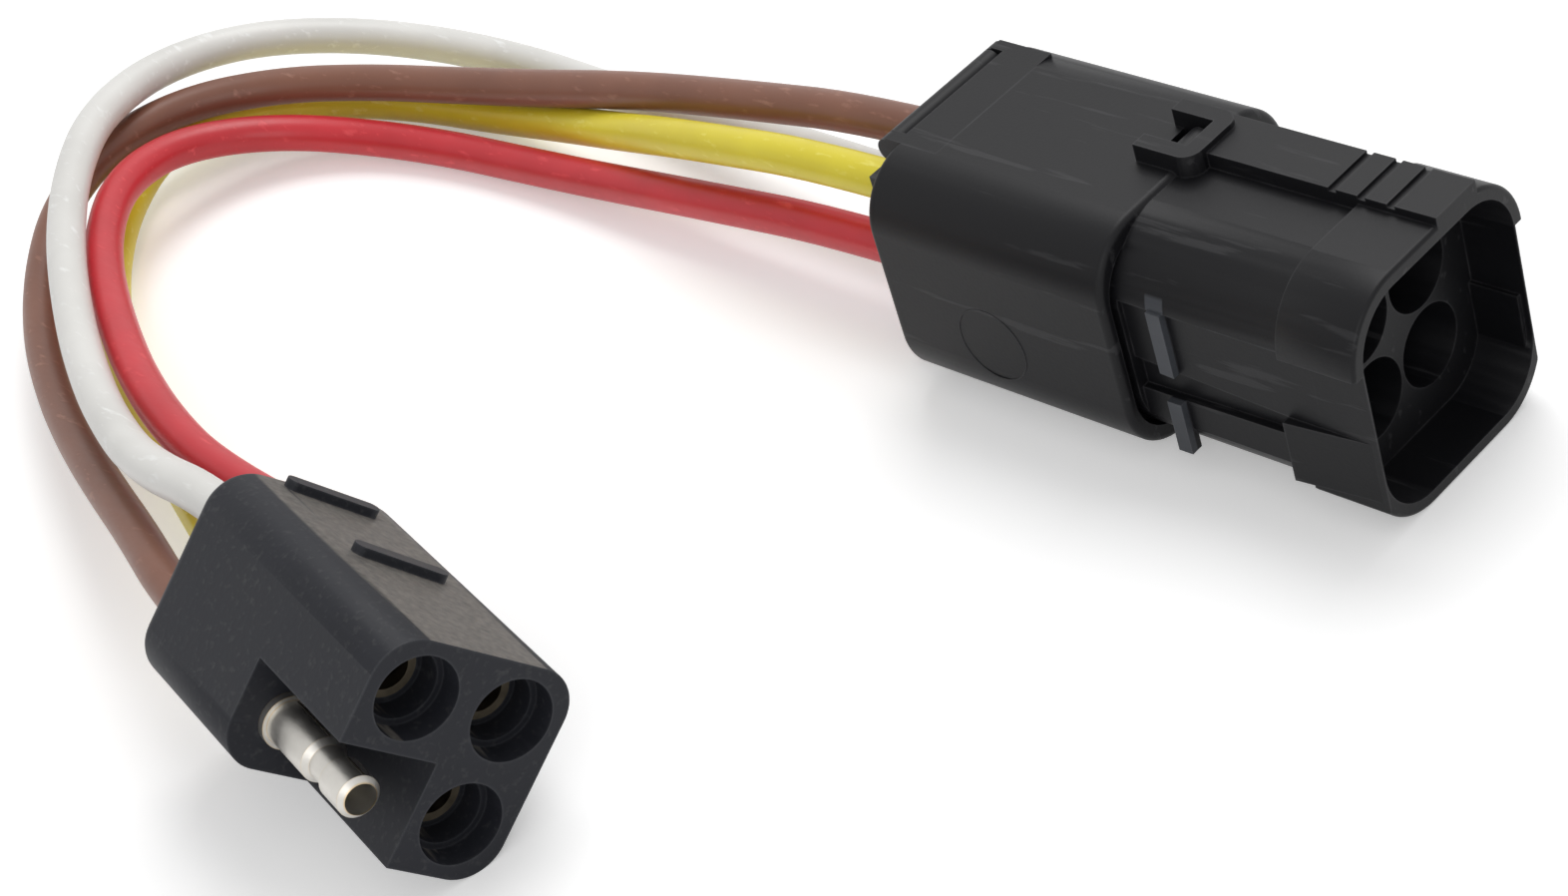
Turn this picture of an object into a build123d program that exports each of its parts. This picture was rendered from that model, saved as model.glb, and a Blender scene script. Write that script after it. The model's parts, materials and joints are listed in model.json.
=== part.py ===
from build123d import *
from math import cos, radians, sin, tan
import os

# A trailer wiring adapter: a sealed square four-way connector joined to a moulded
# four-pole bullet plug by four loose wires. Millimetres, +Z up. The origin is at the
# middle of the two connectors' box, on the surface that they lie on.

os.makedirs("parts", exist_ok=True)

# ---- wires ----
WIRE_D = 4.7                     # outside the insulation
CORE_D = 2.0                     # stranded copper
WIRE_COLOURS = ("yellow", "red", "brown", "white")

# ---- square connector: sizes along its axis are measured from its rear face ----
HOUSING_X = -15.3                # rear face
HOUSING_Y = 42.9                 # axis
SLEEVE_LENGTH = 32.3
SLEEVE_WIDTH = 30.9
SLEEVE_HEIGHT = 28.1
SLEEVE_RADIUS = 7.1
WAIST_LENGTH = 20.7
WAIST_WIDTH = 26.6
WAIST_HEIGHT = 27.2
WAIST_RADIUS = 8.2
LIP_WALL = 1.2                   # sleeve's wall in front of the hollow under its lip
LIP_DEPTH = 2.2
LIP_HEIGHT = 24.0
SLEEVE_ROUND = 0.8               # outer edges at both ends of the sleeve
COLLAR_ROUND = 0.45
COLLAR_LENGTH = 9.3
COLLAR_WIDTH = 28.1
COLLAR_HEIGHT = 28.8
COLLAR_RADIUS = 7.9
MOUTH_WALL = 1.5
MOUTH_DEPTH = 6.6
PITCH = 9.5                      # cavity centres
CAVITY_D = 9.0
CAVITY_DEPTH = 16.0
CAVITY_STEP_D = 7.0
SEAL_BORE_D = 8.4
SEAL_BORE_DEPTH = 14.0
CRIMP_BORE_D = 6.4
CRIMP_BORE_DEPTH = 24.0
WEB_THICKNESS = 6.0

# ---- terminal pins ----
PIN_D = 2.5
PIN_TIP = 50.0                   # from the housing's rear face
PIN_ROOT_D = 3.0                 # where the pin passes through the web
PIN_CLEARANCE = 0.1              # radial, in the web's hole
PIN_FLANGE_D = 5.4
PIN_FLANGE_LENGTH = 2.0
CORE_CRIMP_D = 3.8
CORE_CRIMP_LENGTH = 5.0
WIRE_CRIMP_D = 5.9
WIRE_SEAT = 17.0                 # where the insulation ends
WIRE_CRIMP_LENGTH = 2.5

# ---- cable seals ----
SEAL_LENGTH = 11.0
SEAL_INSET = 1.0
SEAL_RIB = 1.6
SEAL_GROOVE = 0.6

# ---- top of the housing ----
RAIL_NEAR = 1.5
RAIL_FAR = 8.0
RAIL_RISE = 1.0                  # over the collar
RAIL_STEPS = (50.0, 53.5, 57.0)  # shallow grooves across the rail
RAIL_STEP_WIDTH = 0.9
RAIL_STEP_DEPTH = 0.4
LOOP_START = 27.0
LOOP_END = 34.5
LOOP_NEAR = -1.0
LOOP_FAR = 7.5
LOOP_ARM = 2.0
LOOP_RISE = 2.1
LOOP_RADIUS = 1.9
WINDOW_BACK = 28.2
FINGER_WIDTH = 4.0
FINGER_THICKNESS = 1.5
FINGER_BACK = 13.0
FINGER_BARREL_D = 2.2
FINGER_GAP = 0.25                # each side of the finger
BARREL_CLEARANCE = 0.05
FINGER_TRAVEL = 1.2              # room under the nub
FINGER_WALL = 0.5                # between the finger's pocket and the seal bore
NUB_LENGTH = 3.2
NUB_RISE = 0.9                   # over the sleeve's top

# ---- sides of the housing ----
SIDE_RECESS = 0.6
SIDE_TOP = 6.6
SIDE_BOTTOM = -11.4
RIDGE_AT = 36.2
RIDGE_WIDTH = 1.8
RIDGE_RISE = 0.9
SLOT_FRONT = 51.5
SLOT_BACK_TOP = -1.0
SLOT_BACK_BOTTOM = -5.0
SLOT_FRONT_TOP = -2.2
SLOT_FRONT_BOTTOM = -4.6
SLOT_DEPTH = 1.5
RAMP_END = 61.5
RAMP_HEIGHT = 7.5
RAMP_RISE = 1.0

# ---- hinged rear lock ----
LEAF_LENGTH = 5.6
LEAF_NEAR = -8.3
LEAF_FAR = 11.0
LEAF_THICKNESS = 1.2
HINGE_BACK = 1.75                # axis behind the rear face
HINGE_DROP = 1.65                # axis below the sleeve's top
HINGE_ROD_D = 1.5
HINGE_CLEARANCE = 0.05
KNUCKLE_D = 2.9
KNUCKLE_GAP = 0.15
LUG_LENGTH = 1.6
LOCK_THICKNESS = 2.2
LOCK_GAP = 0.3                   # behind the rear face
LOCK_HALF_WIDTH = 11.2
LOCK_BOTTOM = 12.4               # below the axis of the housing
LOCK_SLOT = 6.2                  # round a wire
LOCK_NOSE = 1.6                  # how far its foot stands out
LOCK_NOSE_HEIGHT = 3.4

# ---- moulded plug: sizes along its axis are measured from its rear face ----
PLUG_X = -44.0
PLUG_Y = -39.317
PLUG_HEADING = -13.2             # degrees from +X
PLUG_ROLL = 49.1                 # degrees about its own axis
PLUG_LENGTH = 38.8
PLUG_SIDE = 23.4
PLUG_RADIUS = 4.75
PLUG_REAR_ROUND = 1.6
PLUG_PITCH = 11.5
CUT_BACK = 21.3                  # back wall of the cut-away quadrant
CUT_SHY = 0.2                    # cut stops this far from the middle
WELL_D = 9.0
WELL_DEPTH = 3.2
WELL_STEP_D = 7.6
WELL_STEP_DEPTH = 6.4
PLUG_WIRE_DEPTH = 9.0
RIB_LENGTH = 10.5
RIB_WIDTH = 2.0
RIB_RISE = 1.0
RIB_SLANT = 13.0
RIB_PLACES = (4.0, 19.3)

# ---- plug terminals ----
SOCKET_D = 6.4
SOCKET_BORE_D = 4.7
SOCKET_BORE_DEPTH = 14.0
BULLET_BARREL_D = 5.0
BULLET_NECK_D = 3.8
BULLET_TIP_D = 4.57
BULLET_SHY = 1.0                 # tip behind the plug's front face
BULLET_BARREL = 9.1
BULLET_NECK = 2.6
BULLET_BORE_D = 3.4
BULLET_BORE_DEPTH = 8.0
BULLET_RING_D = 6.0
BULLET_RING = 0.9

WAIST_END = SLEEVE_LENGTH + WAIST_LENGTH
HOUSING_LENGTH = WAIST_END + COLLAR_LENGTH
HOUSING_Z = COLLAR_HEIGHT / 2
FACE_X = HOUSING_LENGTH - MOUTH_DEPTH
SLEEVE_TOP = SLEEVE_HEIGHT / 2
COLLAR_TOP = COLLAR_HEIGHT / 2
HINGE_Z = SLEEVE_TOP - HINGE_DROP
FINGER_FLOOR = PITCH / 2 + SEAL_BORE_D / 2 + FINGER_WALL
FINGER_Z = FINGER_FLOOR + FINGER_TRAVEL + FINGER_THICKNESS / 2
CAVITIES = {
    "yellow": (-PITCH / 2, PITCH / 2),
    "red": (-PITCH / 2, -PITCH / 2),
    "brown": (PITCH / 2, PITCH / 2),
    "white": (PITCH / 2, -PITCH / 2),
}
POLES = {
    "white": (-PLUG_PITCH / 2, PLUG_PITCH / 2),
    "red": (PLUG_PITCH / 2, PLUG_PITCH / 2),
    "yellow": (PLUG_PITCH / 2, -PLUG_PITCH / 2),
    "brown": (-PLUG_PITCH / 2, -PLUG_PITCH / 2),
}
SOCKET_POLES = ("white", "red", "yellow")


def station(along):
    """Cross-section of the square connector, x across to the far side and y up."""
    return Plane((HOUSING_X + along, HOUSING_Y, HOUSING_Z), x_dir=(0, 1, 0), z_dir=(1, 0, 0))


def above(height):
    """Level of the square connector, x along its axis and y across."""
    return Plane((HOUSING_X, HOUSING_Y, HOUSING_Z + height), x_dir=(1, 0, 0), z_dir=(0, 0, 1))


def beside(side, offset):
    """Upright plane beside its axis, x along the axis; y is up on the near side, -1."""
    return Plane((HOUSING_X, HOUSING_Y + side * offset, HOUSING_Z), x_dir=(1, 0, 0), z_dir=(0, side, 0))


def upright(across):
    """Upright plane through the square connector, x along its axis and y up."""
    return Plane((HOUSING_X, HOUSING_Y + across, HOUSING_Z), x_dir=(1, 0, 0), z_dir=(0, -1, 0))


# The plug's support height under its own roll gives the height of its axis.
flat_half = PLUG_SIDE / 2 - PLUG_RADIUS
PLUG_Z = flat_half * (cos(radians(PLUG_ROLL)) + sin(radians(PLUG_ROLL))) + PLUG_RADIUS
plug_axis = Vector(cos(radians(PLUG_HEADING)), sin(radians(PLUG_HEADING)), 0)
plug_level = Vector(-plug_axis.Y, plug_axis.X, 0)
plug_across = plug_level * cos(radians(PLUG_ROLL)) - Vector(0, 0, 1) * sin(radians(PLUG_ROLL))
plug_upward = plug_level * sin(radians(PLUG_ROLL)) + Vector(0, 0, 1) * cos(radians(PLUG_ROLL))
plug_origin = Vector(PLUG_X, PLUG_Y, PLUG_Z)


def plug_station(along):
    """Cross-section of the plug, x and y along its own two sides."""
    return Plane(plug_origin + plug_axis * along, x_dir=plug_across, z_dir=plug_axis)


def plug_top(height):
    """Level of the plug's ribbed side, x along its axis."""
    return Plane(plug_origin + plug_upward * height, x_dir=plug_axis, z_dir=plug_upward)


def plug_point(along, pole):
    """A point on the centre line of one of the plug's poles."""
    return plug_origin + plug_axis * along + plug_across * pole[0] + plug_upward * pole[1]


# ---- tower housing: sleeve, waist and collar in one moulding ----
with BuildPart() as tower_housing:
    with BuildSketch(station(0)):
        RectangleRounded(SLEEVE_WIDTH, SLEEVE_HEIGHT, SLEEVE_RADIUS)
    extrude(amount=SLEEVE_LENGTH)
    sleeve_ends = tower_housing.faces().sort_by(Axis.X)
    fillet(sleeve_ends[0].edges() + sleeve_ends[-1].edges(), SLEEVE_ROUND)
    with BuildSketch(station(SLEEVE_LENGTH)):
        RectangleRounded(SLEEVE_WIDTH - 2 * LIP_WALL, LIP_HEIGHT, SLEEVE_RADIUS - LIP_WALL)
    extrude(amount=-LIP_DEPTH, mode=Mode.SUBTRACT)
    with BuildSketch(station(SLEEVE_LENGTH - LIP_DEPTH)):
        RectangleRounded(WAIST_WIDTH, WAIST_HEIGHT, WAIST_RADIUS)
    extrude(amount=WAIST_LENGTH + LIP_DEPTH)
    with BuildSketch(station(WAIST_END)):
        RectangleRounded(COLLAR_WIDTH, COLLAR_HEIGHT, COLLAR_RADIUS)
    extrude(amount=COLLAR_LENGTH)
    collar_front = tower_housing.faces().sort_by(Axis.X)[-1]
    fillet(collar_front.edges(), COLLAR_ROUND)

    # top rail and the open loop round the window
    with BuildSketch(above(0)):
        with Locations(((SLEEVE_LENGTH + HOUSING_LENGTH) / 2, (RAIL_NEAR + RAIL_FAR) / 2)):
            Rectangle(HOUSING_LENGTH - SLEEVE_LENGTH, RAIL_FAR - RAIL_NEAR)
    extrude(amount=COLLAR_TOP + RAIL_RISE)
    with BuildSketch(above(COLLAR_TOP + RAIL_RISE - RAIL_STEP_DEPTH)):
        for step_at in RAIL_STEPS:
            with Locations((step_at, (RAIL_NEAR + RAIL_FAR) / 2)):
                Rectangle(RAIL_STEP_WIDTH, RAIL_FAR - RAIL_NEAR)
    extrude(amount=RAIL_RISE, mode=Mode.SUBTRACT)
    with BuildSketch(above(0)) as loop_outline:
        with Locations(((LOOP_START + LOOP_END) / 2, (LOOP_NEAR + LOOP_FAR) / 2)):
            Rectangle(LOOP_END - LOOP_START, LOOP_FAR - LOOP_NEAR)
        fillet(loop_outline.vertices().group_by(Axis.X)[-1], LOOP_RADIUS)
    extrude(amount=SLEEVE_TOP + LOOP_RISE)
    inner_near = LOOP_NEAR + LOOP_ARM
    inner_far = LOOP_FAR - LOOP_ARM
    inner_end = LOOP_END - LOOP_ARM
    with BuildSketch(above(SLEEVE_TOP)):
        with Locations(((LOOP_START + inner_end) / 2, (inner_near + inner_far) / 2)):
            Rectangle(inner_end - LOOP_START, inner_far - inner_near)
    extrude(amount=LOOP_RISE, mode=Mode.SUBTRACT)

    # mouth, its four cavities and the bores behind them
    with BuildSketch(station(FACE_X)):
        inner_radius = COLLAR_RADIUS - MOUTH_WALL
        RectangleRounded(COLLAR_WIDTH - 2 * MOUTH_WALL, COLLAR_HEIGHT - 2 * MOUTH_WALL, inner_radius)
    extrude(amount=MOUTH_DEPTH, mode=Mode.SUBTRACT)
    with BuildSketch(station(FACE_X)):
        with GridLocations(PITCH, PITCH, 2, 2):
            Circle(CAVITY_D / 2)
    extrude(amount=-CAVITY_DEPTH, mode=Mode.SUBTRACT)
    with BuildSketch(station(CRIMP_BORE_DEPTH + WEB_THICKNESS)):
        with GridLocations(PITCH, PITCH, 2, 2):
            Circle(CAVITY_STEP_D / 2)
    extrude(amount=FACE_X - CRIMP_BORE_DEPTH - WEB_THICKNESS, mode=Mode.SUBTRACT)
    with BuildSketch(station(0)):
        with GridLocations(PITCH, PITCH, 2, 2):
            Circle(PIN_ROOT_D / 2 + PIN_CLEARANCE)
    extrude(amount=FACE_X, mode=Mode.SUBTRACT)
    with BuildSketch(station(0)):
        with GridLocations(PITCH, PITCH, 2, 2):
            Circle(CRIMP_BORE_D / 2)
    extrude(amount=CRIMP_BORE_DEPTH, mode=Mode.SUBTRACT)
    with BuildSketch(station(0)):
        with GridLocations(PITCH, PITCH, 2, 2):
            Circle(SEAL_BORE_D / 2)
    extrude(amount=SEAL_BORE_DEPTH, mode=Mode.SUBTRACT)

    # window and the pocket for the latch finger, with a round seat for its barrel
    pocket_width = FINGER_WIDTH + 2 * FINGER_GAP
    finger_mid = (inner_near + inner_far) / 2
    with BuildSketch(upright(finger_mid)):
        with Locations((FINGER_BACK, FINGER_Z)):
            Circle(FINGER_BARREL_D / 2 + BARREL_CLEARANCE)
        pocket_low = FINGER_FLOOR
        pocket_high = FINGER_Z + FINGER_THICKNESS / 2 + FINGER_GAP
        with Locations(((FINGER_BACK + inner_end) / 2, (pocket_low + pocket_high) / 2)):
            Rectangle(inner_end - FINGER_BACK, pocket_high - pocket_low)
    extrude(amount=pocket_width / 2, both=True, mode=Mode.SUBTRACT)
    with BuildSketch(above(FINGER_Z)):
        with Locations(((WINDOW_BACK + inner_end) / 2, finger_mid)):
            Rectangle(inner_end - WINDOW_BACK, pocket_width)
    extrude(amount=SLEEVE_TOP, mode=Mode.SUBTRACT)

    # recess for the hinge leaf
    with BuildSketch(above(SLEEVE_TOP - LEAF_THICKNESS)):
        with Locations((LEAF_LENGTH / 2, (LEAF_NEAR + LEAF_FAR) / 2)):
            Rectangle(LEAF_LENGTH, LEAF_FAR - LEAF_NEAR)
    extrude(amount=2 * LEAF_THICKNESS, mode=Mode.SUBTRACT)

    # each flank: a shallow recess, a ridge, a long slot and a wedge ramp
    for side in (-1, 1):
        up = -side
        face_y = WAIST_WIDTH / 2
        with BuildSketch(beside(side, face_y - SIDE_RECESS)):
            recess_mid = ((SLEEVE_LENGTH + HOUSING_LENGTH) / 2, up * (SIDE_TOP + SIDE_BOTTOM) / 2)
            with Locations(recess_mid):
                Rectangle(HOUSING_LENGTH - SLEEVE_LENGTH, SIDE_TOP - SIDE_BOTTOM)
        extrude(amount=SLEEVE_WIDTH, mode=Mode.SUBTRACT)
        with BuildSketch(beside(side, face_y - 2 * SIDE_RECESS)):
            with Locations((RIDGE_AT + RIDGE_WIDTH / 2, up * (SIDE_TOP + SIDE_BOTTOM) / 2)):
                Rectangle(RIDGE_WIDTH, SIDE_TOP - SIDE_BOTTOM)
        extrude(amount=SIDE_RECESS + RIDGE_RISE)
        with BuildSketch(beside(side, face_y - SLOT_DEPTH)):
            with BuildLine():
                Polyline(
                    (SLEEVE_LENGTH, up * SLOT_BACK_TOP),
                    (SLOT_FRONT, up * SLOT_FRONT_TOP),
                    (SLOT_FRONT, up * SLOT_FRONT_BOTTOM),
                    (SLEEVE_LENGTH, up * SLOT_BACK_BOTTOM),
                    close=True,
                )
            make_face()
        extrude(amount=SLEEVE_WIDTH, mode=Mode.SUBTRACT)
        ramp_near = face_y - 2 * SIDE_RECESS
        ramp_low = SLOT_FRONT_TOP - RAMP_HEIGHT
        ramp_mid = HOUSING_Z + (SLOT_FRONT_TOP + ramp_low) / 2
        ramp_origin = (HOUSING_X, HOUSING_Y, ramp_mid)
        with BuildSketch(Plane(ramp_origin, x_dir=(1, 0, 0), z_dir=(0, 0, 1))):
            with BuildLine():
                Polyline(
                    (SLOT_FRONT, side * ramp_near),
                    (SLOT_FRONT, side * (face_y - SIDE_RECESS + RAMP_RISE)),
                    (RAMP_END, side * (face_y - SIDE_RECESS)),
                    (RAMP_END, side * ramp_near),
                    close=True,
                )
            make_face()
        extrude(amount=RAMP_HEIGHT / 2, both=True)
tower_housing.part.label = "tower_housing"
export_step(tower_housing.part, "parts/tower_housing.step")

# ---- hinge leaf: clipped in the recess, with a lug at each end of the hinge rod ----
lug_ends = (LEAF_NEAR, LEAF_FAR - LUG_LENGTH)
with BuildPart() as hinge_leaf:
    with BuildSketch(above(SLEEVE_TOP - LEAF_THICKNESS)):
        with Locations((LEAF_LENGTH / 2, (LEAF_NEAR + LEAF_FAR) / 2)):
            Rectangle(LEAF_LENGTH, LEAF_FAR - LEAF_NEAR)
    extrude(amount=LEAF_THICKNESS)
    for lug_start in lug_ends:
        with BuildSketch(upright(lug_start)):
            with Locations((-HINGE_BACK, HINGE_Z)):
                Circle(KNUCKLE_D / 2)
            with Locations((-HINGE_BACK / 2, SLEEVE_TOP - LEAF_THICKNESS / 2)):
                Rectangle(HINGE_BACK, LEAF_THICKNESS)
        extrude(amount=-LUG_LENGTH)
    with BuildSketch(upright(LEAF_NEAR)):
        with Locations((-HINGE_BACK, HINGE_Z)):
            Circle(HINGE_ROD_D / 2)
    extrude(amount=LEAF_NEAR - LEAF_FAR)
hinge_leaf.part.label = "hinge_leaf"
export_step(hinge_leaf.part, "parts/hinge_leaf.step")

# ---- rear lock: a comb that swings up on the rod, its slots open at the bottom ----
knuckle_near = LEAF_NEAR + LUG_LENGTH + KNUCKLE_GAP
knuckle_far = LEAF_FAR - LUG_LENGTH - KNUCKLE_GAP
with BuildPart() as rear_lock:
    with BuildSketch(station(-LOCK_GAP)) as comb:
        with Locations((0, (HINGE_Z - LOCK_BOTTOM) / 2)):
            Rectangle(2 * LOCK_HALF_WIDTH, HINGE_Z + LOCK_BOTTOM)
        with Locations((0, HINGE_Z)):
            Rectangle(2 * LOCK_HALF_WIDTH, KNUCKLE_D + 2 * KNUCKLE_GAP, mode=Mode.SUBTRACT)
        for column in (-PITCH / 2, PITCH / 2):
            slot_height = PITCH / 2 + LOCK_BOTTOM
            with Locations((column, PITCH / 2 - slot_height / 2)):
                Rectangle(LOCK_SLOT, slot_height, mode=Mode.SUBTRACT)
            with Locations((column, PITCH / 2)):
                Circle(LOCK_SLOT / 2, mode=Mode.SUBTRACT)
    extrude(amount=-LOCK_THICKNESS)
    with BuildSketch(upright(knuckle_near)):
        with Locations((-HINGE_BACK, HINGE_Z)):
            Circle(KNUCKLE_D / 2)
        web_top = HINGE_Z - KNUCKLE_D / 4
        web_low = HINGE_Z - KNUCKLE_D
        with Locations((-LOCK_GAP - LOCK_THICKNESS / 2, (web_top + web_low) / 2)):
            Rectangle(LOCK_THICKNESS, web_top - web_low)
    extrude(amount=knuckle_near - knuckle_far)
    foot_width = LOCK_HALF_WIDTH - PITCH / 2 - LOCK_SLOT / 2
    with BuildSketch(upright(-LOCK_HALF_WIDTH)):
        with Locations((-LOCK_GAP - LOCK_THICKNESS, LOCK_NOSE_HEIGHT / 2 - LOCK_BOTTOM)):
            Ellipse(LOCK_NOSE, LOCK_NOSE_HEIGHT / 2)
    extrude(amount=-foot_width)
    with BuildSketch(upright(knuckle_near)):
        with Locations((-HINGE_BACK, HINGE_Z)):
            Circle(HINGE_ROD_D / 2 + HINGE_CLEARANCE)
    extrude(amount=knuckle_near - knuckle_far, mode=Mode.SUBTRACT)
rear_lock.part.label = "rear_lock"
export_step(rear_lock.part, "parts/rear_lock.step")

# ---- latch finger: a sprung tongue in its pocket, its nub up through the window ----
nub_front = inner_end - FINGER_GAP
nub_back = nub_front - NUB_LENGTH
nub_top = SLEEVE_TOP + NUB_RISE
with BuildPart() as latch_finger:
    with BuildSketch(upright(finger_mid)):
        with Locations((FINGER_BACK, FINGER_Z)):
            Circle(FINGER_BARREL_D / 2)
        with Locations(((FINGER_BACK + nub_front) / 2, FINGER_Z)):
            Rectangle(nub_front - FINGER_BACK, FINGER_THICKNESS)
    extrude(amount=FINGER_WIDTH / 2, both=True)
    with BuildSketch(upright(finger_mid)):
        with BuildLine():
            nub_foot = FINGER_Z + FINGER_THICKNESS / 2
            nub_crown = nub_top - NUB_LENGTH / 2
            Line((nub_back, nub_foot), (nub_back, nub_crown))
            ThreePointArc((nub_back, nub_crown), (nub_back + NUB_LENGTH / 2, nub_top), (nub_front, nub_crown))
            Line((nub_front, nub_crown), (nub_front, nub_foot))
            Line((nub_front, nub_foot), (nub_back, nub_foot))
        make_face()
    extrude(amount=FINGER_WIDTH / 2, both=True)
latch_finger.part.label = "latch_finger"
export_step(latch_finger.part, "parts/latch_finger.step")

# ---- terminal pins, cable seals and stripped cores, one of each in every cavity ----
core_seat = CRIMP_BORE_DEPTH - PIN_FLANGE_LENGTH
for colour in WIRE_COLOURS:
    across, upward = CAVITIES[colour]
    bore_line = Plane((HOUSING_X, HOUSING_Y + across, HOUSING_Z + upward), x_dir=(1, 0, 0), z_dir=(0, -1, 0))
    bore_axis = Axis(bore_line.origin, (1, 0, 0))
    with BuildPart() as pin_terminal:
        with BuildSketch(bore_line):
            with BuildLine():
                Polyline(
                    (WIRE_SEAT - WIRE_CRIMP_LENGTH, WIRE_D / 2),
                    (WIRE_SEAT - WIRE_CRIMP_LENGTH, WIRE_CRIMP_D / 2),
                    (WIRE_SEAT, WIRE_CRIMP_D / 2),
                    (core_seat - CORE_CRIMP_LENGTH + 1, CORE_CRIMP_D / 2),
                    (core_seat, CORE_CRIMP_D / 2),
                    (core_seat, PIN_FLANGE_D / 2),
                    (CRIMP_BORE_DEPTH, PIN_FLANGE_D / 2),
                    (CRIMP_BORE_DEPTH, PIN_ROOT_D / 2),
                    (CRIMP_BORE_DEPTH + WEB_THICKNESS, PIN_ROOT_D / 2),
                    (CRIMP_BORE_DEPTH + WEB_THICKNESS, PIN_D / 2),
                    (PIN_TIP - PIN_D / 2, PIN_D / 2),
                    (PIN_TIP, PIN_D / 4),
                    (PIN_TIP, 0),
                    (core_seat, 0),
                    (core_seat, CORE_D / 2),
                    (WIRE_SEAT, CORE_D / 2),
                    (WIRE_SEAT, WIRE_D / 2),
                    close=True,
                )
            make_face()
        revolve(axis=bore_axis)
    pin_terminal.part.label = "pin_terminal_" + colour
    export_step(pin_terminal.part, "parts/pin_terminal_" + colour + ".step")

    seal_mid = SEAL_INSET + SEAL_LENGTH / 2
    with BuildPart() as cable_seal:
        with BuildSketch(station(SEAL_INSET)):
            with Locations((across, upward)):
                Circle(SEAL_BORE_D / 2)
                Circle(WIRE_D / 2, mode=Mode.SUBTRACT)
        extrude(amount=SEAL_LENGTH)
        for groove_at in (seal_mid - 2 * SEAL_RIB, seal_mid, seal_mid + 2 * SEAL_RIB):
            with BuildSketch(station(groove_at - SEAL_RIB / 2)):
                with Locations((across, upward)):
                    Circle(SEAL_BORE_D / 2)
                    Circle(SEAL_BORE_D / 2 - SEAL_GROOVE, mode=Mode.SUBTRACT)
            extrude(amount=SEAL_RIB, mode=Mode.SUBTRACT)
    cable_seal.part.label = "cable_seal_" + colour
    export_step(cable_seal.part, "parts/cable_seal_" + colour + ".step")

    with BuildPart() as copper_core:
        with BuildSketch(station(WIRE_SEAT)):
            with Locations((across, upward)):
                Circle(CORE_D / 2)
        extrude(amount=core_seat - WIRE_SEAT)
    copper_core.part.label = "copper_core_" + colour
    export_step(copper_core.part, "parts/copper_core_" + colour + ".step")

# ---- plug body: one soft moulding with a quadrant cut away at the front ----
with BuildPart() as plug_body:
    with BuildSketch(plug_station(0)):
        RectangleRounded(PLUG_SIDE, PLUG_SIDE, PLUG_RADIUS)
    extrude(amount=PLUG_LENGTH)
    rear_face = plug_body.faces().sort_by(Axis(plug_origin, plug_axis))[0]
    fillet(rear_face.edges(), PLUG_REAR_ROUND)
    with BuildSketch(plug_station(CUT_BACK)):
        cut_mid = -CUT_SHY - PLUG_SIDE / 2
        with Locations((cut_mid, cut_mid)):
            Rectangle(PLUG_SIDE, PLUG_SIDE)
    extrude(amount=PLUG_LENGTH - CUT_BACK, mode=Mode.SUBTRACT)
    for place in RIB_PLACES:
        with BuildSketch(plug_top(PLUG_SIDE / 2 - RIB_RISE)):
            with Locations(Location((place, 0), 90 - RIB_SLANT)):
                SlotOverall(RIB_LENGTH, RIB_WIDTH)
        extrude(amount=2 * RIB_RISE)
    socket_poles = [POLES[colour] for colour in SOCKET_POLES]
    for width, depth in ((WELL_D, WELL_DEPTH), (WELL_STEP_D, WELL_STEP_DEPTH)):
        with BuildSketch(plug_station(PLUG_LENGTH)):
            with Locations(socket_poles):
                Circle(width / 2)
        extrude(amount=-depth, mode=Mode.SUBTRACT)
    with BuildSketch(plug_station(PLUG_WIRE_DEPTH)):
        with Locations(socket_poles):
            Circle(SOCKET_D / 2)
    extrude(amount=PLUG_LENGTH - PLUG_WIRE_DEPTH, mode=Mode.SUBTRACT)
    with BuildSketch(plug_station(PLUG_WIRE_DEPTH)):
        with Locations(POLES["brown"]):
            Circle(BULLET_BARREL_D / 2)
    extrude(amount=CUT_BACK - PLUG_WIRE_DEPTH, mode=Mode.SUBTRACT)
    with BuildSketch(plug_station(0)):
        with Locations([POLES[colour] for colour in WIRE_COLOURS]):
            Circle(WIRE_D / 2)
    extrude(amount=PLUG_WIRE_DEPTH, mode=Mode.SUBTRACT)
plug_body.part.label = "plug_body"
export_step(plug_body.part, "parts/plug_body.step")

# ---- socket terminals, set back in the three wells ----
socket_front = PLUG_LENGTH - WELL_STEP_DEPTH
for colour in SOCKET_POLES:
    with BuildPart() as socket_terminal:
        with BuildSketch(plug_station(PLUG_WIRE_DEPTH)):
            with Locations(POLES[colour]):
                Circle(SOCKET_D / 2)
        extrude(amount=socket_front - PLUG_WIRE_DEPTH)
        with BuildSketch(plug_station(socket_front)):
            with Locations(POLES[colour]):
                Circle(SOCKET_BORE_D / 2)
        extrude(amount=-SOCKET_BORE_DEPTH, mode=Mode.SUBTRACT)
    socket_terminal.part.label = "socket_terminal_" + colour
    export_step(socket_terminal.part, "parts/socket_terminal_" + colour + ".step")

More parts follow.
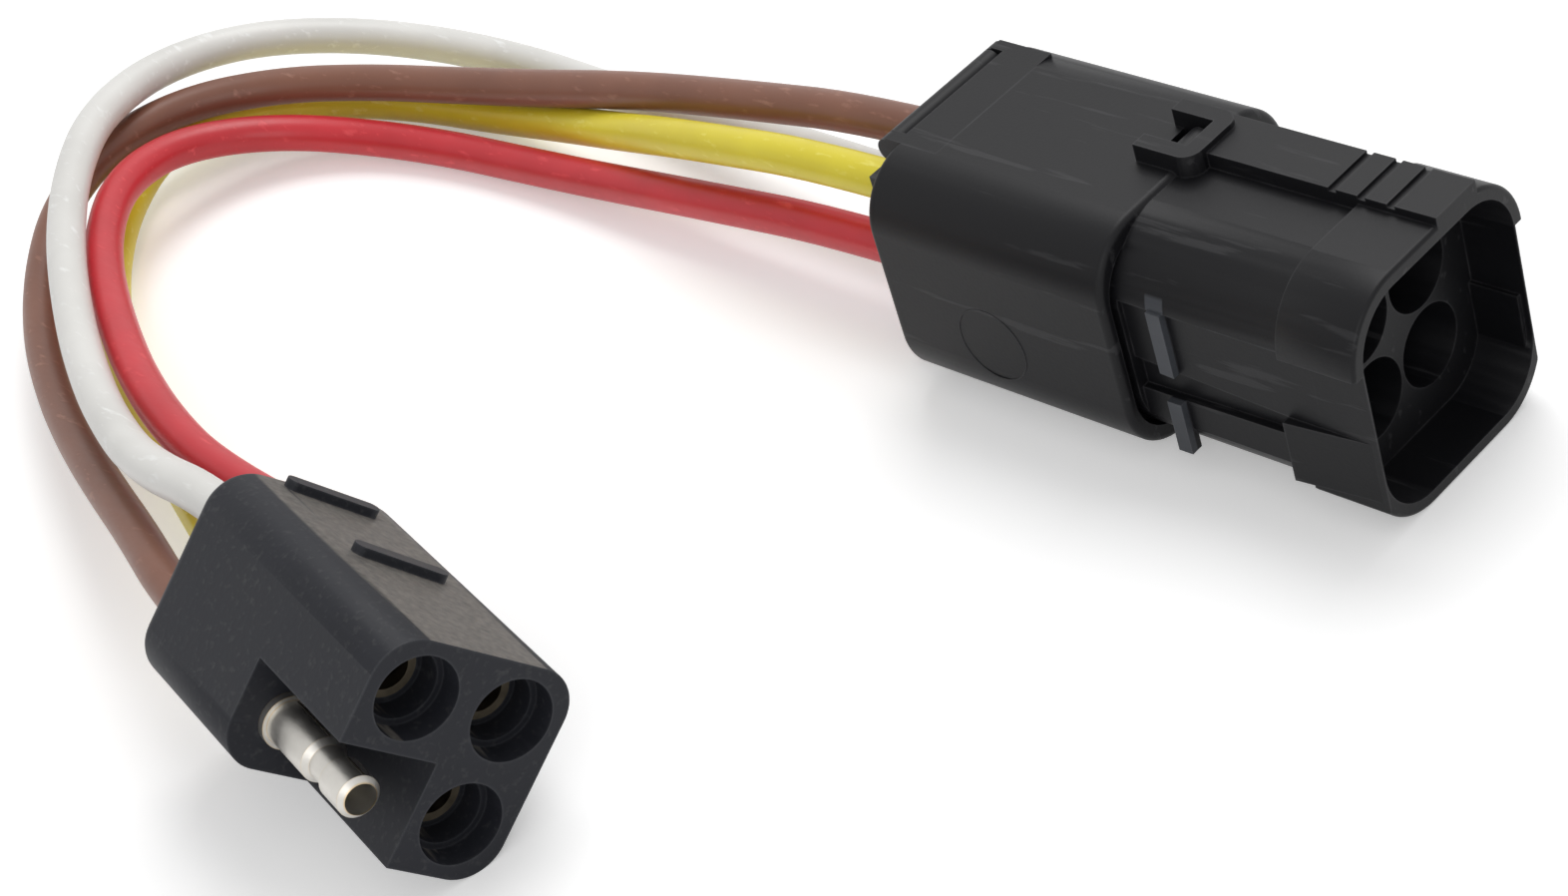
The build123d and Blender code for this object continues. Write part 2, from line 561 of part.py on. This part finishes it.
# ---- bullet terminal: a rolled barrel, a neck and a round hollow tip ----
bullet_tip = PLUG_LENGTH - BULLET_SHY
neck_start = CUT_BACK + BULLET_BARREL
neck_end = neck_start + BULLET_NECK
bullet_line = Plane(plug_point(0, POLES["brown"]), x_dir=plug_axis, z_dir=plug_across)
with BuildPart() as bullet_terminal:
    with BuildSketch(bullet_line):
        with BuildLine():
            tip_radius = BULLET_TIP_D / 2
            neck_radius = BULLET_NECK_D / 2
            bore_radius = BULLET_BORE_D / 2
            round_start = bullet_tip - (tip_radius - bore_radius)
            bulge_start = neck_end + (tip_radius - neck_radius)
            Polyline(
                (PLUG_WIRE_DEPTH, 0),
                (PLUG_WIRE_DEPTH, BULLET_BARREL_D / 2),
                (CUT_BACK, BULLET_BARREL_D / 2),
                (CUT_BACK, BULLET_RING_D / 2),
                (CUT_BACK + BULLET_RING, BULLET_RING_D / 2),
                (CUT_BACK + BULLET_RING, BULLET_BARREL_D / 2),
                (neck_start - (BULLET_BARREL_D - BULLET_NECK_D) / 2, BULLET_BARREL_D / 2),
                (neck_start, neck_radius),
                (neck_end, neck_radius),
                (bulge_start, tip_radius),
                (round_start, tip_radius),
                (bullet_tip, bore_radius),
                (bullet_tip - BULLET_BORE_DEPTH, bore_radius),
                (bullet_tip - BULLET_BORE_DEPTH, 0),
                close=True,
            )
        make_face()
    revolve(axis=Axis(bullet_line.origin, plug_axis))
bullet_terminal.part.label = "bullet_terminal"
export_step(bullet_terminal.part, "parts/bullet_terminal.step")

# ---- wires: each from its crimp in the housing to its seat in the plug ----
PLUG_LEAD = 6.0                  # straight behind the plug
ROUTES = {
    "white": [
        (-29, 47.65, 9.65), (-60, 50.2, 7.2), (-76, 51.7, 4.5), (-91, 53.4, 3),
        (-106, 53.8, 3), (-120.5, 51.3, 4.2), (-132.5, 45, 7), (-140.3, 34.8, 10.9),
        (-142.4, 22.4, 14), (-138.6, 10.2, 15.8), (-130, -0.2, 16.3), (-119, -9.6, 16.4),
        (-107, -17.7, 16.6), (-94, -25.2, 17), (-81, -31.3, 17.9), (-67, -36, 19.7),
    ],
    "brown": [
        (-29, 47.65, 19.15), (-60, 46.6, 14.6), (-76, 45.5, 12.2), (-90.5, 43.9, 9.7),
        (-105, 41.4, 8.1), (-118.3, 37.9, 7.6), (-129.9, 31.6, 8.4), (-137.9, 22.2, 9.7),
        (-140.5, 11, 10.1), (-137, -0.5, 9.2), (-128.5, -10.5, 7.9), (-117.6, -18.8, 7.5),
        (-105.5, -25.4, 8.1), (-92.7, -30.9, 9.5), (-79.7, -35.7, 11.4), (-66.5, -40.2, 13.4),
    ],
    "red": [
        (-29, 38.15, 9.65), (-60, 37.8, 6), (-76, 37.8, 3.8), (-90, 37.2, 2.7),
        (-103, 35.9, 2.5), (-115, 33.1, 2.9), (-124.6, 28.2, 4.6), (-130.6, 21.2, 7),
        (-132.1, 13.2, 9.5), (-129.1, 4.5, 11.2), (-121.4, -3.7, 12.1), (-111.2, -10.8, 12.9),
        (-100.2, -16.9, 13.6), (-88.9, -22.3, 14.4), (-77.5, -26.6, 14.9), (-65.8, -29.4, 14.8),
    ],
    "yellow": [
        (-29, 38.15, 19.15), (-59, 39.6, 13.5), (-74, 42, 8.8), (-88.5, 43.7, 5),
        (-102.5, 43.4, 2.8), (-116, 41.4, 2.5), (-128.5, 36.6, 3.1), (-137.3, 28.8, 4.9),
        (-140.6, 18, 5), (-136.2, 6.8, 3.5), (-127.5, -2.6, 2.5), (-116.5, -10.4, 2.6),
        (-104.6, -16.7, 3.4), (-92, -22.2, 4.7), (-79, -27.4, 5.9), (-66, -32.5, 6.6),
    ],
}
ARC_SHARE = 0.45                 # of the shorter run, on each side of a corner


def corner_radii(points):
    """The largest arc at each corner that its two runs allow."""
    radii = []
    for before, corner, after in zip(points, points[1:], points[2:]):
        turn = (corner - before).get_angle(after - corner)
        shorter = min((corner - before).length, (after - corner).length)
        radii.append(ARC_SHARE * shorter / tan(radians(turn) / 2))
    return radii


for colour in WIRE_COLOURS:
    across, upward = CAVITIES[colour]
    wire_start = Vector(HOUSING_X + WIRE_SEAT, HOUSING_Y + across, HOUSING_Z + upward)
    wire_leave = plug_point(-PLUG_LEAD, POLES[colour])
    wire_end = plug_point(PLUG_WIRE_DEPTH, POLES[colour])
    points = [wire_start] + [Vector(*point) for point in ROUTES[colour]] + [wire_leave, wire_end]
    radii = corner_radii(points)
    with BuildPart() as wire:
        with BuildLine() as wire_path:
            FilletPolyline(*points, radius=radii)
        with BuildSketch(Plane(wire_start, z_dir=points[1] - points[0])):
            Circle(WIRE_D / 2)
        sweep()
    wire.part.label = "wire_" + colour
    export_step(wire.part, "parts/wire_" + colour + ".step")
    section = Face(Wire.make_circle(WIRE_D / 2)).area
    path_length = wire_path.wires()[0].length
    print(colour, "length", round(path_length, 1), "volume ratio", round(wire.part.volume / section / path_length, 4))
    print("  radii", [round(radius, 1) for radius in radii])
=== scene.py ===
import bpy, bmesh, json, math
from mathutils import Matrix, Vector


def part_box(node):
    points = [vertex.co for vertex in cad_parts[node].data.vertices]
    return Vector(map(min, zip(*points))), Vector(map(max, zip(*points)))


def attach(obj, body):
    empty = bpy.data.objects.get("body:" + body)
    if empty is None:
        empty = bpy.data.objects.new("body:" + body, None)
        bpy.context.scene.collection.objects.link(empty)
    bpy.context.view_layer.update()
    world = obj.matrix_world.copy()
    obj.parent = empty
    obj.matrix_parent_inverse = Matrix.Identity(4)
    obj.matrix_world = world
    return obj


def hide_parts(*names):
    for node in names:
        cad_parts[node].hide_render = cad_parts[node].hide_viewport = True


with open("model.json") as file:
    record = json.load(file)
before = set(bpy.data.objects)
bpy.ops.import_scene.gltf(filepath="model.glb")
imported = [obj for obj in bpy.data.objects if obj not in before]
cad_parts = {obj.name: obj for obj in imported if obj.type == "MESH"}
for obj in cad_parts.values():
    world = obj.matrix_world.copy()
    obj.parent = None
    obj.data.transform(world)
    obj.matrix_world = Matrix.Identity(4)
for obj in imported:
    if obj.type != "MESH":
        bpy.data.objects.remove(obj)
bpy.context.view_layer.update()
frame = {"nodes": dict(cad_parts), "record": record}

# ---- camera ----
# A long lens looks down at the harness from in front of the square connector's mouth.
# It is rolled, so that the level connectors run downhill to the right.
MM = 0.001
CAMERA_AT = Vector((226.1, -161.0, 228.7)) * MM
AZIMUTH = math.radians(55.0)
ELEVATION = math.radians(37.0)
ROLL = math.radians(-19.1)
camera_data = bpy.data.cameras.new("camera")
camera_data.lens = 80.15
camera_data.sensor_width = 36.0
camera_data.clip_start = 0.01
camera = bpy.data.objects.new("camera", camera_data)
turn = Matrix.Rotation(AZIMUTH, 4, "Z") @ Matrix.Rotation(math.radians(90) - ELEVATION, 4, "X")
camera.matrix_world = Matrix.Translation(CAMERA_AT) @ turn @ Matrix.Rotation(ROLL, 4, "Z")
bpy.context.collection.objects.link(camera)
bpy.context.scene.camera = camera

# ---- four wires ----
# Soft PVC insulation over stranded copper, 4.7 mm across. They leave the square connector's
# seals side by side, cross in a loose U and go into the moulded plug at their own poles.
WIRE_D = 4.7 * MM
ROUTES = {
    "white": [
        (1.7, 47.65, 9.65), (-29, 47.65, 9.65), (-60, 50.2, 7.2), (-76, 51.7, 4.5), (-91, 53.4, 3),
        (-106, 53.8, 3), (-120.5, 51.3, 4.2), (-132.5, 45, 7), (-140.3, 34.8, 10.9),
        (-142.4, 22.4, 14), (-138.6, 10.2, 15.8), (-130, -0.2, 16.3), (-119, -9.6, 16.4),
        (-107, -17.7, 16.6), (-94, -25.2, 17), (-81, -31.3, 17.9), (-67, -36, 19.7),
        (-49.7, -37.4, 22.66), (-35.1, -40.8, 22.66),
    ],
    "brown": [
        (1.7, 47.65, 19.15), (-29, 47.65, 19.15), (-60, 46.6, 14.6), (-76, 45.5, 12.2),
        (-90.5, 43.9, 9.7), (-105, 41.4, 8.1), (-118.3, 37.9, 7.6), (-129.9, 31.6, 8.4),
        (-137.9, 22.2, 9.7), (-140.5, 11, 10.1), (-137, -0.5, 9.2), (-128.5, -10.5, 7.9),
        (-117.6, -18.8, 7.5), (-105.5, -25.4, 8.1), (-92.7, -30.9, 9.5), (-79.7, -35.7, 11.4),
        (-66.5, -40.2, 13.4), (-51.7, -45.8, 15.14), (-37.1, -49.3, 15.14),
    ],
    "red": [
        (1.7, 38.15, 9.65), (-29, 38.15, 9.65), (-60, 37.8, 6), (-76, 37.8, 3.8), (-90, 37.2, 2.7),
        (-103, 35.9, 2.5), (-115, 33.1, 2.9), (-124.6, 28.2, 4.6), (-130.6, 21.2, 7),
        (-132.1, 13.2, 9.5), (-129.1, 4.5, 11.2), (-121.4, -3.7, 12.1), (-111.2, -10.8, 12.9),
        (-100.2, -16.9, 13.6), (-88.9, -22.3, 14.4), (-77.5, -26.6, 14.9), (-65.8, -29.4, 14.8),
        (-48, -30.0, 13.97), (-33.4, -33.5, 13.97),
    ],
    "yellow": [
        (1.7, 38.15, 19.15), (-29, 38.15, 19.15), (-59, 39.6, 13.5), (-74, 42, 8.8),
        (-88.5, 43.7, 5), (-102.5, 43.4, 2.8), (-116, 41.4, 2.5), (-128.5, 36.6, 3.1),
        (-137.3, 28.8, 4.9), (-140.6, 18, 5), (-136.2, 6.8, 3.5), (-127.5, -2.6, 2.5),
        (-116.5, -10.4, 2.6), (-104.6, -16.7, 3.4), (-92, -22.2, 4.7), (-79, -27.4, 5.9),
        (-66, -32.5, 6.6), (-50, -38.5, 6.44), (-35.4, -41.9, 6.44),
    ],
}
# Each insulation: its colour, a darker and a lighter tone of it, and its roughness.
INSULATION = {
    "white": ((0.80, 0.79, 0.76), (0.66, 0.65, 0.62), (0.88, 0.88, 0.86), 0.38),
    "brown": ((0.215, 0.085, 0.050), (0.150, 0.055, 0.032), (0.30, 0.14, 0.095), 0.40),
    "red": ((0.62, 0.022, 0.035), (0.45, 0.012, 0.020), (0.72, 0.06, 0.07), 0.33),
    "yellow": ((0.82, 0.70, 0.035), (0.66, 0.54, 0.02), (0.88, 0.79, 0.14), 0.34),
}
BLACK = (0, 0, 0)
WHITE = (1, 1, 1)


class Socket:
    """A shader value or colour; + - and * on values add Math nodes."""

    def __init__(self, paint, out):
        self.paint = paint
        self.out = out

    def maths(self, operation, first, second):
        return self.paint.node("ShaderNodeMath", {"operation": operation}, {0: first, 1: second})

    def __add__(self, other):
        return self.maths("ADD", self, other)

    def __radd__(self, other):
        return self.maths("ADD", other, self)

    def __sub__(self, other):
        return self.maths("SUBTRACT", self, other)

    def __rsub__(self, other):
        return self.maths("SUBTRACT", other, self)

    def __mul__(self, other):
        return self.maths("MULTIPLY", self, other)

    def __rmul__(self, other):
        return self.maths("MULTIPLY", other, self)

    def clamp(self):
        return self.maths("MINIMUM", self.maths("MAXIMUM", self, 0.0), 1.0)


class Paint:
    """A new material with one Principled shader."""

    def __init__(self, name):
        self.material = bpy.data.materials.new(name)
        self.material.use_nodes = True
        self.tree = self.material.node_tree
        self.tree.nodes.clear()
        self.shader = self.tree.nodes.new("ShaderNodeBsdfPrincipled")
        output = self.tree.nodes.new("ShaderNodeOutputMaterial")
        self.tree.links.new(self.shader.outputs["BSDF"], output.inputs["Surface"])
        self.place = self.node("ShaderNodeTexCoord", {}, {}, "Object")

    def feed(self, socket, value):
        if isinstance(value, Socket):
            self.tree.links.new(value.out, socket)
        elif socket.type == "RGBA":
            socket.default_value = (*value, 1.0)
        else:
            socket.default_value = value

    def node(self, kind, settings, inputs, output=0):
        made = self.tree.nodes.new(kind)
        for key, value in settings.items():
            if key == "stops":
                ramp = made.color_ramp.elements
                while len(ramp) < len(value):
                    ramp.new(0.5)
                for stop, (position, colour) in zip(ramp, value):
                    stop.position = position
                    stop.color = (*colour, 1.0)
            else:
                setattr(made, key, value)
        for key, value in inputs.items():
            self.feed(made.inputs[key], value)
        return Socket(self, made.outputs[output])

    def set(self, **values):
        for key, value in values.items():
            self.feed(self.shader.inputs[key.replace("_", " ")], value)

    def noise(self, scale, detail, stretch=(1, 1, 1)):
        turned = self.node("ShaderNodeMapping", {}, {"Vector": self.place, "Scale": stretch})
        return self.node("ShaderNodeTexNoise", {}, {"Vector": turned, "Scale": scale, "Detail": detail})

    def ramp(self, value, *stops):
        return self.node("ShaderNodeValToRGB", {"stops": stops}, {"Fac": value})

    def mix(self, amount, first, second):
        return self.node("ShaderNodeMix", {"data_type": "RGBA"}, {0: amount, 6: first, 7: second}, 2)

    def dot(self, first, second):
        return self.node("ShaderNodeVectorMath", {"operation": "DOT_PRODUCT"}, {0: first, 1: second}, "Value")

    def bump(self, height, strength, distance):
        values = {"Height": height, "Strength": strength, "Distance": distance}
        self.set(Normal=self.node("ShaderNodeBump", {}, values))

    def wear(self, radius, gain):
        """White along sharp edges: how far a rounded normal turns from the true one."""
        soft = self.node("ShaderNodeBevel", {"samples": 6}, {"Radius": radius})
        true = self.node("ShaderNodeNewGeometry", {}, {}, "Normal")
        return ((1.0 - self.dot(soft, true)) * gain).clamp()


def insulation_paint(colour):
    base, dark, light, rough = INSULATION[colour]
    paint = Paint("insulation_" + colour)
    cloud = paint.noise(70, 3)
    streak = paint.noise(900, 5, stretch=(0.35, 1.2, 1.2))
    tone = paint.mix(paint.ramp(cloud, (0.35, BLACK), (0.65, WHITE)), dark, base)
    scuff = paint.ramp(streak, (0.60, BLACK), (0.74, WHITE))
    soft = paint.mix(0.55, base, tone)
    paint.set(Base_Color=paint.mix(scuff, soft, light), Roughness=(rough + streak * 0.18).clamp())
    paint.set(Coat_Weight=0.12, Coat_Roughness=0.22)
    paint.bump(streak + cloud * 0.6, 0.10, 0.2 * MM)
    return paint


for colour, route in ROUTES.items():
    curve = bpy.data.curves.new("wire_" + colour, "CURVE")
    curve.dimensions = "3D"
    curve.bevel_depth = WIRE_D / 2
    curve.bevel_resolution = 8
    curve.resolution_u = 10
    curve.use_fill_caps = True
    spline = curve.splines.new("NURBS")
    spline.points.add(len(route) - 1)
    for point, place in zip(spline.points, route):
        point.co = (*(Vector(place) * MM), 1.0)
    spline.order_u = 3
    spline.use_endpoint_u = True
    wire = bpy.data.objects.new("insulated_wire_" + colour, curve)
    bpy.context.collection.objects.link(wire)
    curve.materials.append(insulation_paint(colour).material)
    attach(wire, "harness")
    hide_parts("wire_" + colour)

# ---- square connector: housing, hinge leaf, rear lock and latch finger ----
# Black nylon, injection moulded: a satin skin with faint flow marks, rubbed paler along its
# edges, scratched in use, and with a painted highlight in a strip just behind the ridges on the near flank.
RUBBED = (0.085, 0.085, 0.09)
SCRATCHED = (0.11, 0.11, 0.115)
# painted highlight colour for the strip behind the near flank's ridges
HIGHLIGHT_GREY = (0.13, 0.14, 0.16)
HIGHLIGHT_FROM = 20.6 * MM        # along +X, just behind the ridges
HIGHLIGHT_TO = 23.0 * MM
FLANK_BAND = 30.2 * MM           # across, just inside the near flank
BAND_EDGE = 6000                 # a mask turns over in a sixth of a millimetre

nylon = Paint("housing_nylon")
grain = nylon.noise(2600, 3)
flow = nylon.noise(55, 5, stretch=(0.35, 1, 1))
scratch = nylon.noise(420, 8, stretch=(0.12, 1.6, 1.1))
scratches = nylon.ramp(scratch, (0.615, BLACK), (0.66, WHITE))
patches = nylon.ramp(nylon.noise(240, 4), (0.35, (0.25, 0.25, 0.25)), (0.7, WHITE))
patchy = nylon.wear(0.35 * MM, 5.0) * patches
black = nylon.mix(flow, (0.0040, 0.0040, 0.0050), (0.0085, 0.0085, 0.0100))
rubbed = nylon.mix((patchy * 0.6).clamp(), black, RUBBED)
scratched = nylon.mix(scratches * 0.16, rubbed, SCRATCHED)
along = nylon.node("ShaderNodeSeparateXYZ", {}, {"Vector": nylon.place}, "X")
across = nylon.node("ShaderNodeSeparateXYZ", {}, {"Vector": nylon.place}, "Y")
# painted highlight: a pale strip just behind the ridges on the near flank, standing in for the light caught
# on the ridge's fillet
ridge_highlight = ((along - HIGHLIGHT_FROM) * BAND_EDGE).clamp() * ((HIGHLIGHT_TO - along) * BAND_EDGE).clamp()
uneven = nylon.ramp(flow, (0.3, (0.3, 0.3, 0.3)), (0.6, WHITE))
near_flank = ((FLANK_BAND - across) * BAND_EDGE).clamp() * uneven
nylon.set(Base_Color=nylon.mix(ridge_highlight * near_flank * 0.5, scratched, HIGHLIGHT_GREY))
nylon.set(Roughness=(0.33 + flow * 0.14 + grain * 0.06 + patchy * 0.1).clamp(), Specular_IOR_Level=0.20)
nylon.bump(grain * 0.5 + flow * 1.5 + scratches * 0.6, 0.16, 0.12 * MM)


def finish_node(name, paint):
    """Gives a CAD node its material."""
    for place in frame["nodes"][name].material_slots:
        place.material = paint.material


def add_piece(name, mesh, paint):
    """A piece of the harness body, with its material."""
    mesh.materials.clear()
    mesh.materials.append(paint.material)
    piece = bpy.data.objects.new(name, mesh)
    bpy.context.collection.objects.link(piece)
    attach(piece, "harness")
    return piece


def rounded_copy(name, width, paint):
    """A merged copy of a moulded CAD piece, its knife edges taken off."""
    mesh = frame["nodes"][name].data.copy()
    shape = bmesh.new()
    shape.from_mesh(mesh)
    bmesh.ops.remove_doubles(shape, verts=shape.verts, dist=0.002 * MM)
    shape.to_mesh(mesh)
    shape.free()
    piece = add_piece("moulded_" + name, mesh, paint)
    bevel = piece.modifiers.new("edges", "BEVEL")
    bevel.width = width
    bevel.segments = 2
    bevel.limit_method = "ANGLE"
    bevel.angle_limit = math.radians(35)
    bevel.harden_normals = True
    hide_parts(name)


for name in ("tower_housing", "hinge_leaf", "rear_lock", "latch_finger"):
    finish_node(name, nylon)
rounded_copy("tower_housing", 0.28 * MM, nylon)

# ---- ejector mark on the near flank ----
# A hair-thin ring of the same nylon, which the mould's ejector pin leaves on the sleeve
# when it pushes the housing out.
MARK_RADIUS = 4.5 * MM
MARK_LINE = 0.07 * MM            # half the width of the line
MARK_AT = Vector((-0.8, 0, 11.0)) * MM
MARK_AT.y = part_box("tower_housing")[0][1]
shape = bmesh.new()
section = bmesh.ops.create_circle(shape, segments=6, radius=MARK_LINE)["verts"]
bmesh.ops.rotate(shape, verts=section, matrix=Matrix.Rotation(math.radians(90), 3, "X"))
bmesh.ops.translate(shape, verts=section, vec=(MARK_RADIUS, 0, 0))
bmesh.ops.spin(
    shape, geom=shape.verts[:] + shape.edges[:], axis=(0, 0, 1), cent=(0, 0, 0),
    angle=math.tau, steps=72, use_merge=True,
)
bmesh.ops.rotate(shape, verts=shape.verts, matrix=Matrix.Rotation(math.radians(90), 3, "X"))
bmesh.ops.translate(shape, verts=shape.verts, vec=MARK_AT)
bmesh.ops.recalc_face_normals(shape, faces=shape.faces)
mark_mesh = bpy.data.meshes.new("ejector_mark")
shape.to_mesh(mark_mesh)
shape.free()
add_piece("ejector_mark", mark_mesh, nylon)

# ---- terminals, seals and cores inside the square connector ----
# Stamped and tin-plated brass pins, red silicone seals pressed round the wires, and the bare
# stranded copper in each pin's crimp. They show only in the cavities and round the wires.


def tin_paint(name, warm):
    paint = Paint(name)
    cloud = paint.noise(380, 5)
    fine = paint.noise(2400, 3, stretch=(0.3, 1, 1))
    dull = paint.mix(cloud, (0.50, 0.48, 0.44), (0.74, 0.72, 0.68))
    edge = paint.wear(0.3 * MM, 4.0)
    paint.set(Base_Color=paint.mix((edge * warm).clamp(), dull, (0.62, 0.44, 0.20)))
    paint.set(Metallic=1.0, Roughness=(0.24 + cloud * 0.2 + fine * 0.12).clamp())
    paint.bump(fine + cloud, 0.14, 0.1 * MM)
    return paint


pin_tin = tin_paint("pin_tin", 0.5)
silicone = Paint("seal_silicone")
bloom = silicone.noise(300, 4)
silicone.set(Base_Color=silicone.mix(bloom, (0.30, 0.05, 0.04), (0.40, 0.08, 0.06)))
silicone.set(Roughness=0.45 + bloom * 0.15)
copper = Paint("copper_strands")
twist = copper.noise(3000, 2, stretch=(0.1, 1, 1))
copper.set(Base_Color=copper.mix(twist, (0.55, 0.26, 0.14), (0.86, 0.50, 0.34)))
copper.set(Metallic=1.0, Roughness=0.25 + twist * 0.2)
copper.bump(twist, 0.5, 0.2 * MM)
for colour in ROUTES:
    finish_node("pin_terminal_" + colour, pin_tin)
    finish_node("cable_seal_" + colour, silicone)
    finish_node("copper_core_" + colour, copper)

# ---- moulded plug ----
# Soft PVC moulded over the four wires. Its skin is dull and faintly blue, and the flat of its
# ribbed side, below the rib tops, is a paler grey.
PLUG_HEADING = math.radians(-13.2)
PLUG_ROLL = math.radians(49.1)
PLUG_CENTRE = Vector((-44.0, -39.317, 14.554)) * MM
RIBBED_SIDE = 11.8 * MM          # just over the flat that carries the ribs
DUST_GREY = (0.20, 0.20, 0.19)
RIBBED_FLAT_GREY = (0.20, 0.185, 0.165)
WORN_BLUE = (0.10, 0.105, 0.115)
plug_axis = Vector((math.cos(PLUG_HEADING), math.sin(PLUG_HEADING), 0))
plug_level = Vector((-math.sin(PLUG_HEADING), math.cos(PLUG_HEADING), 0))
plug_up = plug_level * math.sin(PLUG_ROLL) + Vector((0, 0, math.cos(PLUG_ROLL)))

rubber = Paint("plug_pvc")
mottle = rubber.noise(160, 5)
dust = rubber.noise(1300, 6)
rub = rubber.wear(0.5 * MM, 4.0)
skin = rubber.mix(mottle, (0.0105, 0.0115, 0.0155), (0.018, 0.019, 0.025))
chalk = rubber.ramp(dust, (0.56, BLACK), (0.74, WHITE))
dusty = rubber.mix(chalk * 0.10, skin, DUST_GREY)
worn = rubber.mix((rub * 0.35).clamp(), dusty, WORN_BLUE)
facing = rubber.dot(rubber.node("ShaderNodeTexCoord", {}, {}, "Normal"), plug_up)
height = rubber.dot(rubber.place, plug_up)
side_height = PLUG_CENTRE.dot(plug_up) + RIBBED_SIDE
# the flat of the ribbed side, below the rib tops, is mixed unevenly towards a paler grey
ribbed = ((facing - 0.97) * 60).clamp() * ((side_height - height) * 12000).clamp()
paler_flat = ribbed * rubber.ramp(dust, (0.25, (0.45, 0.45, 0.45)), (0.7, WHITE))
rubber.set(Base_Color=rubber.mix(paler_flat * 0.75, worn, RIBBED_FLAT_GREY))
rubber.set(Roughness=(0.46 + mottle * 0.14).clamp(), Specular_IOR_Level=0.24)
rubber.bump(dust * 0.8 + mottle, 0.22, 0.15 * MM)
finish_node("plug_body", rubber)
rounded_copy("plug_body", 0.25 * MM, rubber)

# ---- plug terminals ----
# Three brass sockets, dark with flux inside their wells, and a bullet of tinned brass that
# stands bare in the plug's cut-away corner.
socket_brass = Paint("socket_brass")
stain = socket_brass.noise(700, 4)
socket_brass.set(Base_Color=socket_brass.mix(stain, (0.10, 0.085, 0.06), (0.26, 0.22, 0.16)))
socket_brass.set(Metallic=1.0, Roughness=0.38 + stain * 0.2)
for colour in ("white", "red", "yellow"):
    finish_node("socket_terminal_" + colour, socket_brass)
finish_node("bullet_terminal", tin_paint("bullet_tin", 0.8))

# ---- the bullet's rolled seam ----
# The bullet is rolled from strip, so a dark joint runs along its barrel and its tip, on the
# side towards the plug's cut wall.
SEAM_WIDTH = 0.22
SEAM_THICKNESS = 0.12
SEAM_SINK = 0.03                 # its middle lies this far under the metal's surface
SEAM_ROUND = 0.03
SEAM_TURN = math.radians(51.7)   # from level
# Barrel and tip: first and last point from the middle of the tip, and radius, in millimetres.
SEAM_STRETCHES = ((-12.9, -5.7, 2.5), (-1.7, 1.8, 2.285))
seam_paint = Paint("bullet_seam")
grime = seam_paint.noise(1500, 4)
seam_paint.set(Base_Color=seam_paint.mix(grime, (0.02, 0.018, 0.014), (0.10, 0.085, 0.06)))
seam_paint.set(Metallic=0.5, Roughness=0.6)
tip = next(mount for mount in frame["record"]["mounts"] if mount["name"] == "bullet_tip")
seam_side = plug_level * math.cos(SEAM_TURN) + Vector((0, 0, math.sin(SEAM_TURN)))
lengthwise = Matrix((plug_axis, seam_side.cross(plug_axis), seam_side)).transposed()
shape = bmesh.new()
for first, last, radius in SEAM_STRETCHES:
    strip = bmesh.ops.create_cube(shape, size=1.0)["verts"]
    bmesh.ops.scale(shape, verts=strip, vec=Vector((last - first, SEAM_WIDTH, SEAM_THICKNESS)) * MM)
    bmesh.ops.rotate(shape, verts=strip, matrix=lengthwise)
    offset = plug_axis * (first + last) / 2 + seam_side * (radius - SEAM_SINK)
    bmesh.ops.translate(shape, verts=strip, vec=Vector(tip["pos_m"]) + offset * MM)
bmesh.ops.bevel(
    shape, geom=shape.edges, offset=SEAM_ROUND * MM, segments=2, affect="EDGES", profile=0.5, material=-1,
)
seam_mesh = bpy.data.meshes.new("bullet_seam")
shape.to_mesh(seam_mesh)
shape.free()
add_piece("bullet_seam", seam_mesh, seam_paint)

# ---- floor and light ----
# A plain white floor under a broad soft light from above and behind, and a weaker one in
# front. To the camera and in reflections, floor and surroundings look white.
AIM = Vector((-0.03, 0, 0.01))
FLOOR_GLOW = (0.30, 0.30, 0.30)
SKY_LIGHT = 0.48
SKY_SEEN = 1.0
floor_paint = Paint("floor")
by_camera = floor_paint.node("ShaderNodeLightPath", {}, {}, "Is Camera Ray")
by_gloss = floor_paint.node("ShaderNodeLightPath", {}, {}, "Is Glossy Ray")
glow = floor_paint.mix((by_camera + by_gloss).clamp(), BLACK, FLOOR_GLOW)
floor_paint.set(Base_Color=(0.94, 0.94, 0.94), Roughness=0.9, Specular_IOR_Level=0.1)
floor_paint.set(Emission_Color=glow, Emission_Strength=1.0)
floor_mesh = bpy.data.meshes.new("floor")
shape = bmesh.new()
bmesh.ops.create_grid(shape, x_segments=1, y_segments=1, size=3.0)
shape.to_mesh(floor_mesh)
shape.free()
floor = bpy.data.objects.new("floor", floor_mesh)
floor_mesh.materials.append(floor_paint.material)
bpy.context.collection.objects.link(floor)

world = bpy.data.worlds.new("studio")
bpy.context.scene.world = world
world.use_nodes = True
sky = world.node_tree
backdrop = sky.nodes["Background"]
backdrop.inputs["Color"].default_value = (1, 1, 1, 1)
path = sky.nodes.new("ShaderNodeLightPath")
either = sky.nodes.new("ShaderNodeMath")
either.operation = "MAXIMUM"
level = sky.nodes.new("ShaderNodeMix")
level.inputs[2].default_value = SKY_LIGHT
level.inputs[3].default_value = SKY_SEEN
sky.links.new(path.outputs["Is Camera Ray"], either.inputs[0])
sky.links.new(path.outputs["Is Glossy Ray"], either.inputs[1])
sky.links.new(either.outputs[0], level.inputs[0])
sky.links.new(level.outputs[0], backdrop.inputs["Strength"])


def soft_light(name, place, size, power):
    lamp = bpy.data.lights.new(name, "AREA")
    lamp.size = size
    lamp.energy = power
    light = bpy.data.objects.new(name, lamp)
    aim = (AIM - Vector(place)).to_track_quat("-Z", "Y")
    light.matrix_world = Matrix.Translation(place) @ aim.to_matrix().to_4x4()
    bpy.context.collection.objects.link(light)


soft_light("key", (-0.15, 0.35, 0.65), 0.45, 2.8)
soft_light("front", (0.45, -0.55, 0.45), 0.5, 1.1)
bpy.context.scene.view_settings.view_transform = "Standard"
